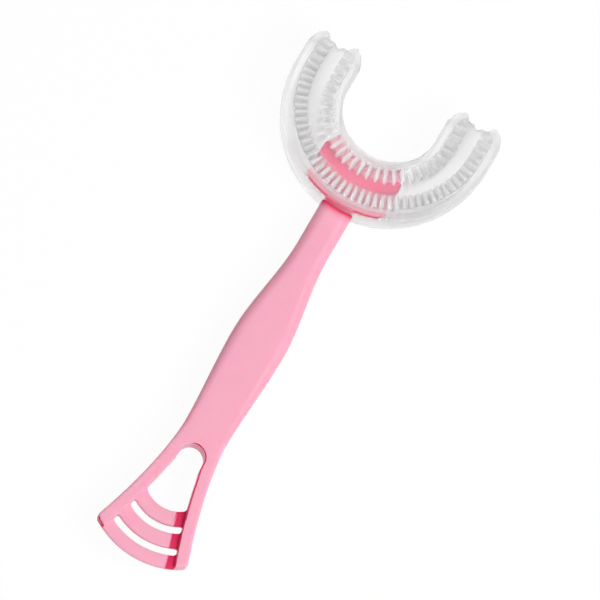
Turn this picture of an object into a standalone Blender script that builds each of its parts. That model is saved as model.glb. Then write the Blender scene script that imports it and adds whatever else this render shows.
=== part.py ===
"""A u-shaped toothbrush: a pink handle whose core plate sits inside a clear silicone head.

Lengths are in metres. The head and the handle are both drawn about the centre of the u, at mid-height,
with the arms of the u along +Y and the handle along -Y. Both are then placed so that the whole brush is
centred on the origin and stands on z = 0.
"""
import math

import bmesh
import bpy
import numpy as np

MM = 0.001
SHARP_ANGLE = math.radians(35)

# Silicone head
MOUTH_RADIUS = 13.6 * MM
CHANNEL_WIDTH = 11.2 * MM
OUTER_SKIN = 0.7 * MM
INNER_SKIN = 0.6 * MM
BARREL_DRAW = 0.9 * MM
ARM_LENGTH = 9.4 * MM
TIP_NOTCH = 1.8 * MM
HEAD_HEIGHT = 20.0 * MM
WEB_SKIN = 1.2 * MM
RIM_ROUND = 0.5 * MM
LIP_HEIGHT = 1.5 * MM
FIT_GAP = 0.3 * MM
HEAD_ARC_STEPS = 30

# Bristles, on slices that lie in the channel walls
BACKING = 0.7 * MM
OUTER_BRISTLE_LENGTH = 3.2 * MM
INNER_BRISTLE_LENGTH = 3.5 * MM
BRISTLE_ROOT_WIDTH = 1.2 * MM
BRISTLE_ROOT_HEIGHT = 1.0 * MM
BRISTLE_TIP = 0.55 * MM
ROW_PITCH = 1.8 * MM
COLUMN_PITCH = 2.35 * MM
STRIP_SETBACK = 0.45 * MM
FRONT_STRIPS = ("right_side", "right_front", "left_front", "left_side")

# Core plate inside the head
PLATE_THICKNESS = 2.0 * MM
PLATE_HALF_WIDTH = 11.9 * MM
PLATE_INSET = 2.4 * MM
PLATE_COVER = 1.3 * MM
PLATE_SLANT = 2.3 * MM
PLATE_SLANT_LENGTH = 4.1 * MM
PLATE_CORNER_ROUND = 2.6 * MM
TONGUE_INSET = 0.4 * MM
TONGUE_ROOT = 3.0 * MM
PLATE_ARC_POINTS = 13
PLATE_CORNER_POINTS = 5

# Handle, seen from above
NECK_WIDTH = 9.4 * MM
GRIP_WIDTH = 15.6 * MM
WAIST_WIDTH = 13.05 * MM
FAN_WIDTH = 27.2 * MM
NECK_LENGTH = 12.8 * MM
SWELL_LENGTH = 30.0 * MM
WAIST_LENGTH = 29.0 * MM
FAN_LENGTH = 33.0 * MM
FAN_POWER = 1.6

# Handle, seen from the side
HANDLE_THICKNESS = 6.4 * MM
END_THICKNESS = 4.6 * MM
GRIP_ROUND = 2.0 * MM
RAIL_ROUND = 0.8 * MM
ROUND_LIMIT_SHARE = 0.9

# Tongue scraper in the fan end, on arcs about one centre
HOLE_SETBACK = 4.0 * MM
HOLE_TOP_RADIUS = 3.6 * MM
SCRAPER_DROP = 10.0 * MM
HOLE_EDGE_RADIUS = 9.2 * MM
RAIL_WIDTH = 3.65 * MM
RAIL_SETBACK = 0.2 * MM
CORNER_ROUND = 1.2 * MM
BLADE_WIDTH = 4.05 * MM
SLOT_WIDTH = 2.0 * MM
BLADE_THICKNESS = 1.8 * MM
BLADE_EMBED = 0.8 * MM
BLADE_COUNT = 3
BLADE_POINTS = 11

# Sizes and places that follow from the ones above
RECESS = BACKING + FIT_GAP
INNER_FACE = MOUTH_RADIUS + BARREL_DRAW + INNER_SKIN + RECESS
OUTER_FACE = INNER_FACE + CHANNEL_WIDTH
HEAD_RADIUS = OUTER_FACE + RECESS + OUTER_SKIN + BARREL_DRAW
CHANNEL_MIDDLE = (OUTER_FACE + INNER_FACE) / 2
HALF_HEIGHT = HEAD_HEIGHT / 2
LIP_BOTTOM = HALF_HEIGHT - LIP_HEIGHT
HALF_POCKET = PLATE_THICKNESS / 2 + FIT_GAP
HALF_WEB = HALF_POCKET + WEB_SKIN
PLATE_OUTER_RADIUS = HEAD_RADIUS - PLATE_INSET
PLATE_INNER_RADIUS = MOUTH_RADIUS + PLATE_COVER
PLATE_INNER_HALF_WIDTH = PLATE_HALF_WIDTH - PLATE_SLANT
PLATE_SIDE_Y = math.sqrt(PLATE_INNER_RADIUS ** 2 - PLATE_INNER_HALF_WIDTH ** 2) + PLATE_SLANT_LENGTH
SHOULDER_RADIUS = HEAD_RADIUS + FIT_GAP
NECK_END_Y = SHOULDER_RADIUS + NECK_LENGTH
GRIP_Y = NECK_END_Y + SWELL_LENGTH
WAIST_Y = GRIP_Y + WAIST_LENGTH
HOLE_TOP_Y = WAIST_Y + HOLE_SETBACK
HOLE_CENTRE_Y = HOLE_TOP_Y + HOLE_TOP_RADIUS
SCRAPER_CENTRE_Y = HOLE_TOP_Y + SCRAPER_DROP
END_RADIUS = HOLE_EDGE_RADIUS + BLADE_COUNT * BLADE_WIDTH + (BLADE_COUNT - 1) * SLOT_WIDTH
HANDLE_END_Y = SCRAPER_CENTRE_Y + END_RADIUS
RAIL_END_RADIUS = END_RADIUS - RAIL_SETBACK
RAIL_END_Y = SCRAPER_CENTRE_Y + RAIL_END_RADIUS
HEAD_CENTRE_Y = (HANDLE_END_Y - ARM_LENGTH) / 2

# Shares along a curve, chosen by hand
SKIN_SHARES = (0.0, 0.3, 0.55, 0.78)
FLOOR_SHARES = (0.2, 0.35, 0.5, 0.65, 0.8)
ROUND_SHARE = 0.3
EDGE_SHARES = (0.0, 0.3, 1.0)
NECK_ROW_SHARES = (0.04, 0.5)
SWELL_ROW_SHARES = (0.0, 0.15, 0.3, 0.45, 0.6, 0.8)
WAIST_ROW_SHARES = (0.0, 0.25, 0.5, 0.75, 1.0)
HOLE_ARC_SHARES = (0.0, 0.2, 0.45, 0.7, 1.0)
RAIL_ROW_SHARES = (0.15, 0.3, 0.45, 0.6, 0.75, 0.87)
RAIL_BLEND_SHARE = 0.5


def clear_scene():
    """Remove every object that the file opened with."""
    for old in list(bpy.data.objects):
        bpy.data.objects.remove(old, do_unlink=True)


def plain_material(name, colour, roughness, alpha):
    """A Principled material with one colour."""
    material = bpy.data.materials.new(name)
    material.use_nodes = True
    shader = material.node_tree.nodes["Principled BSDF"]
    shader.inputs["Base Color"].default_value = (*colour, 1.0)
    shader.inputs["Roughness"].default_value = roughness
    shader.inputs["Metallic"].default_value = 0.0
    shader.inputs["Alpha"].default_value = alpha
    return material


def closed_mesh(name, points, faces):
    """A mesh from points and faces, joined at shared points, with its faces outward."""
    mesh = bpy.data.meshes.new(name)
    mesh.from_pydata([tuple(point) for point in points], [], faces)
    work = bmesh.new()
    work.from_mesh(mesh)
    bmesh.ops.remove_doubles(work, verts=work.verts, dist=FIT_GAP / 1000)
    bmesh.ops.recalc_face_normals(work, faces=work.faces)
    work.to_mesh(mesh)
    work.free()
    return mesh


def add_object(name, mesh, material, parent):
    """An object at its parent's place, shaded smooth up to a sharp edge."""
    made = bpy.data.objects.new(name, mesh)
    bpy.context.scene.collection.objects.link(made)
    made.data.materials.append(material)
    made.parent = parent
    mesh.shade_smooth()
    mesh.set_sharp_from_angle(angle=SHARP_ANGLE)
    return made


def add_empty(name, place):
    """An empty that carries the pieces of one body."""
    made = bpy.data.objects.new(name, None)
    made.location = place
    bpy.context.scene.collection.objects.link(made)
    return made


def prism(outline, half_height):
    """Points and faces of a flat outline drawn out to both sides of the mid-plane."""
    count = len(outline)
    top = [(x, y, half_height) for x, y in outline]
    bottom = [(x, y, -half_height) for x, y in outline]
    faces = [tuple(range(count)), tuple(range(2 * count - 1, count - 1, -1))]
    for index in range(count):
        following = (index + 1) % count
        faces.append((index, following, count + following, count + index))
    return top + bottom, faces


def combine(shapes):
    """Several sets of points and faces as one."""
    points = []
    faces = []
    for shape_points, shape_faces in shapes:
        start = len(points)
        points.extend(shape_points)
        faces.extend(tuple(start + index for index in face) for face in shape_faces)
    return points, faces


def add_tool(name, shape, parent, material):
    """A hidden solid that a Boolean reads."""
    tool = add_object(name, closed_mesh(name, *shape), material, parent)
    tool.hide_render = True
    tool.display_type = "WIRE"
    return tool


def add_boolean(target, tool, operation):
    """An exact Boolean kept on its object."""
    modifier = target.modifiers.new(tool.name, "BOOLEAN")
    modifier.object = tool
    modifier.operation = operation
    modifier.solver = "EXACT"


# The silicone head


def rim_profile(skin, face):
    """The rounded rim between an outer skin and a channel face, as radius and height."""
    inward = math.copysign(RIM_ROUND, face - skin)
    low = HALF_HEIGHT - RIM_ROUND
    small = ROUND_SHARE * RIM_ROUND
    return [
        (skin, low),
        (skin + inward * ROUND_SHARE, HALF_HEIGHT - small),
        (skin + inward, HALF_HEIGHT),
        (face - inward, HALF_HEIGHT),
        (face - inward * ROUND_SHARE, HALF_HEIGHT - small),
        (face, low),
    ]


def wall_profile(skin_radius, draw, face, recess):
    """Half of one wall: skin at mid-height, rim, lip and the recess that holds the bristle backing."""
    skin = [(skin_radius + draw * share ** 2, HALF_HEIGHT * share) for share in SKIN_SHARES]
    rim = rim_profile(skin_radius + draw, face)
    return skin + rim + [(face, LIP_BOTTOM), (face + recess, LIP_BOTTOM), (face + recess, HALF_WEB)]


def head_profile():
    """The whole section of the u, an H of two walls and a web, as radius and height."""
    outer = wall_profile(HEAD_RADIUS, -BARREL_DRAW, OUTER_FACE, RECESS)
    inner = wall_profile(MOUTH_RADIUS, BARREL_DRAW, INNER_FACE, -RECESS)
    floor_start = OUTER_FACE + RECESS
    floor_width = CHANNEL_WIDTH + 2 * RECESS
    floor = [(floor_start - floor_width * share, HALF_WEB) for share in FLOOR_SHARES]
    upper = outer + floor + inner[::-1]
    lower = [(radius, -height) for radius, height in upper[-2:0:-1]]
    return upper + lower


def arm_end(radius):
    """How far an arm reaches: one wave across the section, with a crest at each channel face."""
    wave = math.cos(2 * math.pi * (radius - CHANNEL_MIDDLE) / CHANNEL_WIDTH)
    return ARM_LENGTH - TIP_NOTCH * (1 + wave) / 2


def head_shape():
    """The section carried down one arm, round the front and up the other arm."""
    profile = head_profile()
    count = len(profile)
    points = [(radius, arm_end(radius), height) for radius, height in profile]
    for step in range(HEAD_ARC_STEPS + 1):
        angle = math.pi * step / HEAD_ARC_STEPS
        points.extend((r * math.cos(angle), -r * math.sin(angle), height) for r, height in profile)
    points.extend((-radius, arm_end(radius), height) for radius, height in profile)
    stations = HEAD_ARC_STEPS + 3
    faces = [tuple(range(count)), tuple(range(len(points) - 1, len(points) - count - 1, -1))]
    for station in range(stations - 1):
        for index in range(count):
            here = station * count + index
            beside = station * count + (index + 1) % count
            faces.append((here, beside, beside + count, here + count))
    return points, faces


def arc_points(radius, reach):
    """Points on the front arc of a circle about the centre of the u, from +X to -X."""
    limit = math.asin(reach / radius)
    angles = np.linspace(limit, -limit, PLATE_ARC_POINTS)
    return [(radius * math.sin(angle), -radius * math.cos(angle)) for angle in angles]


def pocket_shape():
    """The pocket for the core plate, open straight out of the front of the head."""
    inner = arc_points(PLATE_INNER_RADIUS - FIT_GAP, PLATE_INNER_HALF_WIDTH + FIT_GAP)
    side = PLATE_HALF_WIDTH + FIT_GAP
    shoulder = -(PLATE_SIDE_Y - FIT_GAP)
    mouth = -2 * HEAD_RADIUS
    outline = inner + [(-side, shoulder), (-side, mouth), (side, mouth), (side, shoulder)]
    return prism(outline, HALF_POCKET)


# Bristles, each fused to a slice of the wall


def bristle_strip(place, start, end, wall, side):
    """A slice of channel wall with rows of tapered four-sided bristles.

    place turns a station, a radius and a height into a point. The stations run from start to end, as
    angles on the round part and as distances on an arm. wall is the radius of the channel face, 1 or -1
    for a wall outside or inside the channel, and the length of the bristles. side is 1 above the web and
    -1 below it.
    """
    face, outward, length = wall
    back = face + outward * BACKING
    tip = face - outward * length
    station_length = place_scale(place, face)
    reach = (end - start) * station_length
    columns = max(1, round(reach / COLUMN_PITCH))
    low = HALF_WEB + FIT_GAP
    high = LIP_BOTTOM - FIT_GAP
    rows = max(1, round((high - low) / ROW_PITCH))
    stations = np.linspace(start, end, columns + 1)
    heights = np.linspace(low, high, rows + 1)
    points = []
    faces = []

    def add(station, radius, height):
        points.append(place(station, radius, side * height))
        return len(points) - 1

    def ring(station, height, radius, width, tall):
        spread = width / 2 / station_length
        corners = ((-1, -1), (1, -1), (1, 1), (-1, 1))
        return [add(station + u * spread, radius, height + v * tall / 2) for u, v in corners]

    grid = [[add(station, face, height) for height in heights] for station in stations]
    rear = [[add(station, back, low), add(station, back, high)] for station in stations]
    for column in range(columns):
        after = column + 1
        middle = (stations[column] + stations[after]) / 2
        for row in range(rows):
            height = (heights[row] + heights[row + 1]) / 2
            cell = [grid[column][row], grid[after][row], grid[after][row + 1], grid[column][row + 1]]
            root = ring(middle, height, face, BRISTLE_ROOT_WIDTH, BRISTLE_ROOT_HEIGHT)
            crown = ring(middle, height, tip, BRISTLE_TIP, BRISTLE_TIP)
            faces.append(tuple(crown))
            for here in range(4):
                there = (here + 1) % 4
                faces.append((cell[here], cell[there], root[there], root[here]))
                faces.append((root[here], root[there], crown[there], crown[here]))
        faces.append((rear[column][0], rear[column][1], rear[after][1], rear[after][0]))
        faces.append((rear[column][0], rear[after][0], grid[after][0], grid[column][0]))
        faces.append((rear[column][1], grid[column][-1], grid[after][-1], rear[after][1]))
    for column in (0, columns):
        faces.append((rear[column][0], *grid[column], rear[column][1]))
    return points, faces


def on_front(angle, radius, height):
    """A point on the round part of the u."""
    return radius * math.cos(angle), -radius * math.sin(angle), height


def on_right_arm(distance, radius, height):
    """A point on the arm at +X."""
    return radius, distance, height


def on_left_arm(distance, radius, height):
    """A point on the arm at -X."""
    return -radius, distance, height


def place_scale(place, face):
    """How far one unit of station reaches along a channel face."""
    return face if place is on_front else 1.0


def add_bristles(parent, material):
    """Six strips on each wall of each channel."""
    half_gap = FIT_GAP / 2
    strip_angle = math.pi / len(FRONT_STRIPS)
    walls = {
        "outer": (OUTER_FACE, 1, OUTER_BRISTLE_LENGTH),
        "inner": (INNER_FACE, -1, INNER_BRISTLE_LENGTH),
    }
    for level, side in (("upper", 1), ("lower", -1)):
        for wall_name, wall in walls.items():
            trim = half_gap / wall[0]
            arm = (half_gap, ARM_LENGTH - STRIP_SETBACK)
            strips = [("right_arm", on_right_arm, *arm), ("left_arm", on_left_arm, *arm)]
            for index, part in enumerate(FRONT_STRIPS):
                start = strip_angle * index + trim
                end = strip_angle * (index + 1) - trim
                strips.append((part, on_front, start, end))
            for part, place, start, end in strips:
                name = f"{level}_{wall_name}_bristles_{part}"
                shape = bristle_strip(place, start, end, wall, side)
                add_object(name, closed_mesh(name, *shape), material, parent)


# The handle


def ease(share):
    """A smooth step from 0 to 1."""
    share = np.clip(share, 0.0, 1.0)
    return share * share * (3 - 2 * share)


def half_width(distance):
    """Half the width of the handle at a distance down from the centre of the u."""
    grip = ease((distance - NECK_END_Y) / SWELL_LENGTH)
    waist = ease((distance - GRIP_Y) / WAIST_LENGTH)
    fan = np.clip((distance - WAIST_Y) / FAN_LENGTH, 0.0, None) ** FAN_POWER
    width = NECK_WIDTH + (GRIP_WIDTH - NECK_WIDTH) * grip
    width = width + (WAIST_WIDTH - GRIP_WIDTH) * waist + (FAN_WIDTH - WAIST_WIDTH) * fan
    return width / 2


def corner_inset(gap_end):
    """How far the side draws in near the end, so that the two corners are round in plan."""
    into = CORNER_ROUND - np.clip(gap_end, 0.0, CORNER_ROUND)
    return CORNER_ROUND - np.sqrt(CORNER_ROUND ** 2 - into ** 2)


def hole_half_width(distance):
    """Half the width between the rails: a round top, then a constant rail width."""
    below = np.clip(distance - HOLE_CENTRE_Y, 0.0, None)
    above = np.clip(HOLE_CENTRE_Y - distance, 0.0, HOLE_TOP_RADIUS)
    arc = np.sqrt(HOLE_TOP_RADIUS ** 2 - above ** 2)
    blend = ease(below / (RAIL_BLEND_SHARE * HOLE_EDGE_RADIUS))
    rail = half_width(distance) - RAIL_WIDTH
    return np.where(distance < HOLE_CENTRE_Y, arc, arc + (np.maximum(rail, arc) - arc) * blend)


def half_thickness(distance):
    """Half the thickness of the handle, thinning along the rails."""
    share = np.clip((distance - HOLE_TOP_Y) / (RAIL_END_Y - HOLE_TOP_Y), 0.0, 1.0)
    return (HANDLE_THICKNESS + (END_THICKNESS - HANDLE_THICKNESS) * share) / 2


def edge_round(distance):
    """The radius of the long edges, smaller on the rails."""
    share = ease((distance - GRIP_Y) / (HOLE_TOP_Y - GRIP_Y))
    wanted = GRIP_ROUND + (RAIL_ROUND - GRIP_ROUND) * share
    return np.minimum(wanted, ROUND_LIMIT_SHARE * half_thickness(distance))


def handle_rows():
    """Distances down the axis at which the handle is drawn, and the row where the hole starts."""
    neck = SHOULDER_RADIUS + NECK_LENGTH * np.array(NECK_ROW_SHARES)
    swell = NECK_END_Y + SWELL_LENGTH * np.array(SWELL_ROW_SHARES)
    waist = GRIP_Y + WAIST_LENGTH * np.array(WAIST_ROW_SHARES)
    edge = HOLE_TOP_Y - RAIL_ROUND * np.array(EDGE_SHARES[:0:-1])
    arc = HOLE_CENTRE_Y - HOLE_TOP_RADIUS * np.cos(math.pi / 2 * np.array(HOLE_ARC_SHARES))
    rail = HOLE_CENTRE_Y + (RAIL_END_Y - HOLE_CENTRE_Y) * np.array(RAIL_ROW_SHARES)
    end = RAIL_END_Y - np.append(CORNER_ROUND, RAIL_ROUND * np.array(EDGE_SHARES[::-1]))
    before = np.concatenate([[SHOULDER_RADIUS], neck, swell, waist, edge])
    return np.concatenate([before, arc, rail, end]), len(before)


def curved(distance, across):
    """Bend a straight row: round the head at the neck, and round the scraper's centre at the end."""
    neck = np.clip((NECK_END_Y - distance) / NECK_LENGTH, 0.0, 1.0)
    end = ease((distance - HOLE_CENTRE_Y) / (RAIL_END_Y - RAIL_ROUND - HOLE_CENTRE_Y))
    head_rise = SHOULDER_RADIUS - np.sqrt(SHOULDER_RADIUS ** 2 - across ** 2)
    end_rise = RAIL_END_RADIUS - np.sqrt(RAIL_END_RADIUS ** 2 - np.minimum(across, RAIL_END_RADIUS) ** 2)
    return distance - neck * head_rise - end * end_rise


def handle_shape():
    """The handle without its plate and blades.

    Each row runs from the axis, or from the edge of the hole, out to the side. The top is a height over
    that grid, half the thickness less a round edge wherever a side, the hole or the end is near. The
    bottom is its mirror image, and upright walls join the two.
    """
    rows, hole_row = handle_rows()
    inner = np.zeros(len(rows))
    outer = half_width(rows)
    for _ in range(12):
        outer = half_width(curved(rows, outer)) - corner_inset(RAIL_END_Y - rows)
        inner[hole_row:] = hole_half_width(curved(rows, inner))[hole_row:]
    radius = edge_round(rows)
    inner_edge = inner[:, None] + radius[:, None] * np.array(EDGE_SHARES)[None, :]
    outer_edge = outer[:, None] - radius[:, None] * np.array(EDGE_SHARES[::-1])[None, :]
    middle = (inner_edge[:, -1:] + outer_edge[:, :1]) / 2
    across = np.hstack([inner_edge, middle, outer_edge])
    down = curved(rows[:, None], across)
    gap_end = RAIL_END_RADIUS - np.hypot(across, down - SCRAPER_CENTRE_Y)
    gap_end = np.where(down > SCRAPER_CENTRE_Y, gap_end, RAIL_END_RADIUS)
    gap_side = half_width(down) - corner_inset(gap_end) - across
    gap_hole = np.where(
        down < HOLE_CENTRE_Y,
        np.hypot(across, down - HOLE_CENTRE_Y) - HOLE_TOP_RADIUS,
        across - hole_half_width(down))
    gap = np.minimum(np.minimum(gap_side, gap_hole), gap_end)
    wide = edge_round(down)
    short = wide - np.clip(gap, 0.0, wide)
    top = half_thickness(down) - wide + np.sqrt(wide ** 2 - short ** 2)
    return quarter_sheets(across, down, top, hole_row)


def quarter_sheets(across, down, top, hole_row):
    """Four mirrored copies of one sheet, with walls round the outside and round the hole."""
    row_count, column_count = across.shape
    size = row_count * column_count
    points = []
    faces = []
    edge = [(row, column_count - 1) for row in range(row_count)]
    first = [(0, column) for column in range(column_count)]
    last = [(row_count - 1, column) for column in range(column_count - 1, -1, -1)]
    hole = [(row, 0) for row in range(row_count - 1, hole_row - 1, -1)]
    border = first + edge[1:] + last[1:] + hole[1:]
    for mirror in (1, -1):
        start = len(points)
        for level in (1, -1):
            points.extend(zip((mirror * across).ravel(), (-down).ravel(), (level * top).ravel()))
        for sheet in (start, start + size):
            for row in range(row_count - 1):
                for column in range(column_count - 1):
                    here = sheet + row * column_count + column
                    faces.append((here, here + 1, here + column_count + 1, here + column_count))
        for (row, column), (next_row, next_column) in zip(border, border[1:]):
            here = start + row * column_count + column
            after = start + next_row * column_count + next_column
            faces.append((here, after, after + size, here + size))
    return points, faces


def plate_shape():
    """The core plate: an arc of a ring with rounded outer corners, and the tongue to the neck."""
    inner = arc_points(PLATE_INNER_RADIUS, PLATE_INNER_HALF_WIDTH)
    corner_centre_x = PLATE_HALF_WIDTH - PLATE_CORNER_ROUND
    reach = PLATE_OUTER_RADIUS - PLATE_CORNER_ROUND
    corner_centre_y = math.sqrt(reach ** 2 - corner_centre_x ** 2)
    turn = math.atan2(corner_centre_y, corner_centre_x)
    corner = []
    for angle in np.linspace(0.0, turn, PLATE_CORNER_POINTS):
        x = corner_centre_x + PLATE_CORNER_ROUND * math.cos(angle)
        corner.append((x, -corner_centre_y - PLATE_CORNER_ROUND * math.sin(angle)))
    tongue = NECK_WIDTH / 2 - TONGUE_INSET
    from_angle = math.asin(tongue / PLATE_OUTER_RADIUS)
    to_angle = math.pi / 2 - turn
    front = []
    for angle in np.linspace(to_angle, from_angle, PLATE_CORNER_POINTS)[1:]:
        front.append((PLATE_OUTER_RADIUS * math.sin(angle), -PLATE_OUTER_RADIUS * math.cos(angle)))
    right = [(PLATE_HALF_WIDTH, -PLATE_SIDE_Y)] + corner + front
    right.append((tongue, -(SHOULDER_RADIUS + TONGUE_ROOT)))
    left = [(-x, y) for x, y in right[::-1]]
    return prism(inner[::-1] + right + left, PLATE_THICKNESS / 2)


def blade_shape(index):
    """One curved blade between the rails, its ends sunk into them."""
    near = HOLE_EDGE_RADIUS + index * (BLADE_WIDTH + SLOT_WIDTH)
    far = near + BLADE_WIDTH
    outline = []
    for radius, direction in ((near, 1), (far, -1)):
        limit = 0.0
        for _ in range(20):
            down = SCRAPER_CENTRE_Y + radius * math.cos(limit)
            reach = float(hole_half_width(np.array(down))) + BLADE_EMBED
            limit = math.asin(min(reach / radius, 1.0))
        for angle in np.linspace(-limit, limit, BLADE_POINTS)[::direction]:
            outline.append((radius * math.sin(angle), -SCRAPER_CENTRE_Y - radius * math.cos(angle)))
    return prism(outline, BLADE_THICKNESS / 2)


def build():
    """Model the handle, the head and its bristles."""
    clear_scene()
    pink = plain_material("handle_pink", (0.90, 0.42, 0.55), 0.35, 1.0)
    silicone = plain_material("silicone_clear", (0.86, 0.86, 0.87), 0.4, 0.6)
    centre = (0.0, HEAD_CENTRE_Y, HALF_HEIGHT)

    grip_frame = add_empty("handle_frame", centre)
    handle = add_object("handle", closed_mesh("handle", *handle_shape()), pink, grip_frame)
    plate = add_tool("plate_tool", plate_shape(), grip_frame, pink)
    blades = add_tool("blade_tool", combine([blade_shape(i) for i in range(BLADE_COUNT)]), grip_frame, pink)
    add_boolean(handle, plate, "UNION")
    add_boolean(handle, blades, "UNION")

    slide_frame = add_empty("head_slide", centre)
    head = add_object("silicone_head", closed_mesh("silicone_head", *head_shape()), silicone, slide_frame)
    pocket = add_tool("pocket_tool", pocket_shape(), slide_frame, silicone)
    add_boolean(head, pocket, "DIFFERENCE")
    add_bristles(slide_frame, silicone)


build()
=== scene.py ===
"""The look of a u-shaped toothbrush: a pink moulded handle and a clear silicone head full of bristles.

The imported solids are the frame. Every surface here is worked out in metres about the centre of the u, at
mid-height, with the arms of the u along +Y and the handle along -Y. It is then moved to its place.
"""
import math

import bmesh
import bpy
import numpy as np
from mathutils import Matrix, Vector


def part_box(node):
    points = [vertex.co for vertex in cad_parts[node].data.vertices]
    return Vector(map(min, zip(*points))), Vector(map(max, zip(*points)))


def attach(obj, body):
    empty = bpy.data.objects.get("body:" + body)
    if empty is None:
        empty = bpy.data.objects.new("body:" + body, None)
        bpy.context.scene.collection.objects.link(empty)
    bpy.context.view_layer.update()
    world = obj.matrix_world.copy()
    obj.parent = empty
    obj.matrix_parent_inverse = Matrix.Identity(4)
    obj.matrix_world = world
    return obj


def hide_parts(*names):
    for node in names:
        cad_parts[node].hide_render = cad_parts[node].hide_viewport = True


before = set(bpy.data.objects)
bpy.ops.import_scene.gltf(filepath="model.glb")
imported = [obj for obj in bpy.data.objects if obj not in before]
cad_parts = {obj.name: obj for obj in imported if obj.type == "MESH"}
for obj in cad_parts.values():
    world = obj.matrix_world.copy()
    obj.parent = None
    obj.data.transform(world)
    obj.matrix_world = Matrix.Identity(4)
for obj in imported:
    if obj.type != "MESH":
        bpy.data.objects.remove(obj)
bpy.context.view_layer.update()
HEAD_LOW, HEAD_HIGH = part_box("silicone_head")
HANDLE_LOW, HANDLE_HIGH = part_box("handle")
MM = 0.001
MERGE_DISTANCE = 0.001 * MM
CREASE_ANGLE = 40
EDGE_STEPS = 5

# Where the frame puts the head
HEAD_RADIUS = (HEAD_HIGH.x - HEAD_LOW.x) / 2
HALF_HEIGHT = (HEAD_HIGH.z - HEAD_LOW.z) / 2
CENTRE = np.array([0.0, HEAD_LOW.y + HEAD_RADIUS, HEAD_LOW.z + HALF_HEIGHT])
ARM_LENGTH = HEAD_HIGH.y - CENTRE[1]

# Silicone head
MOUTH_RADIUS = 13.6 * MM
OUTER_FACE = 27.3 * MM
INNER_FACE = 16.1 * MM
BARREL_DRAW = 0.9 * MM
WALL_DRAFT = 0.15 * MM
HALF_WEB = 2.5 * MM
RIM_ROUND = 1.0 * MM
FLOOR_ROUND = 1.1 * MM
TIP_NOTCH = 0.9 * MM
TIP_NOTCH_WIDTH = 7.6 * MM
TIP_ROUND = 0.7 * MM
TIP_WIDEN = 2.1 * MM
TIP_SLANT = 1.6 * MM
TIP_WIDEN_LENGTH = 2.2 * MM
OUTER_LOBE_RADIUS = 27.2 * MM
INNER_LOBE_RADIUS = 16.4 * MM
LOBE_ROUND = 2.85 * MM
SECTION_STEP = 0.6 * MM
FRONT_STATIONS = 109
ARM_STATIONS = 15
TIP_STATIONS = 7
CAP_LEVELS = 9

# Bristles
OUTER_BRISTLE_LENGTH = 3.9 * MM
INNER_BRISTLE_LENGTH = 3.6 * MM
BRISTLE_ROOT_WIDTH = 1.2 * MM
BRISTLE_ROOT_HEIGHT = 1.05 * MM
OUTER_BRISTLE_WIDEN = 1.2
BRISTLE_TIP = 0.85 * MM
BRISTLE_FOOT = 0.1 * MM
BRISTLE_SUNK = 0.15 * MM
BRISTLE_SIDES = 8
BRISTLE_RINGS = (0.08, 0.45)
BRISTLE_DOME_RINGS = 4
BRISTLE_LEAN = 0.03
BRISTLE_SEED = 5
BRISTLE_CREASE_ANGLE = 60
BRISTLE_ROWS = 3
LOW_ROW = 3.7 * MM
HIGH_ROW = 8.0 * MM
OUTER_COLUMNS = 40
INNER_COLUMNS = 24
ARM_COLUMNS = (2.4 * MM, 4.85 * MM, 7.3 * MM)
FRONT_STRIPS = ("right_side", "right_front", "left_front", "left_side")

# Core plate and pocket
PLATE_HALF_THICKNESS = 1.0 * MM
PLATE_HALF_WIDTH = 11.9 * MM
PLATE_OUTER_RADIUS = 28.4 * MM
PLATE_INNER_RADIUS = 14.9 * MM
PLATE_INNER_HALF_WIDTH = 9.6 * MM
PLATE_SIDE_Y = 15.5 * MM
PLATE_CORNER_ROUND = 2.6 * MM
PLATE_EDGE_ROUND = 0.6 * MM
PLATE_INNER_STEPS = 16
PLATE_CORNER_STEPS = 10
PLATE_OUTER_STEPS = 14
TONGUE_HALF_WIDTH = 4.3 * MM
TONGUE_ROOT = 3.0 * MM
POCKET_GAP = 0.06 * MM

# How milky the silicone is, from 0 to 1
WALL_HAZE = 0.5
WEB_HAZE = 0.75
SKIN_HAZE = 0.65
# High enough to turn the colour greyer: painted shade on the front of the outer skin
FRONT_SKIN_HAZE = 0.78
PLATE_HAZE = 0.10
PLATE_SIDE_HAZE = 0.76
PLATE_WALL_HAZE = 0.22
INNER_WALL_HAZE = 0.34
PLATE_SKIN_HAZE = 0.12
PLATE_RIM_HAZE = 0.62
TONGUE_HAZE = 0.12
TONGUE_SIDE_HAZE = 0.5
POCKET_HAZE = 0.03
BRISTLE_HAZE = 0.66
PLATE_BRISTLE_HAZE = 0.36

# Where the haze changes
CLEAR_RADIUS = 20.3 * MM
CLEAR_HALF_WIDTH = 0.9 * MM
CLEAR_FADE = 1.8 * MM
CLEAR_LEAN = 0.23
SHARP_FADE = 1.0 * MM
SOFT_FADE = 3.0 * MM
OUTER_WALL_CLEAR = 0.4 * MM
INNER_WALL_FOOT = 3.2 * MM
SKIN_BAND_LOW = 5.2 * MM
SKIN_BAND_HIGH = 6.3 * MM
LEVEL_FADE = 1.5 * MM
SKIN_DEPTH = 0.2 * MM
TONGUE_FADE = 6.0 * MM
FRONT_START = 0.6
FRONT_FADE = 0.2
POCKET_MARGIN = 1.0 * MM
BRISTLE_ROOT_SHARE = 0.25
BRISTLE_CLEAR_ROOT = 0.5 * MM

# Handle, seen from above
SHOULDER_RADIUS = HEAD_RADIUS + 0.05 * MM
NECK_WIDTH = 9.4 * MM
GRIP_WIDTH = 15.6 * MM
WAIST_WIDTH = 13.05 * MM
FAN_WIDTH = 27.2 * MM
NECK_END_Y = 43.0 * MM
GRIP_Y = 73.0 * MM
WAIST_Y = 102.0 * MM
FAN_LENGTH = 33.0 * MM
FAN_POWER = 1.6

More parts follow.
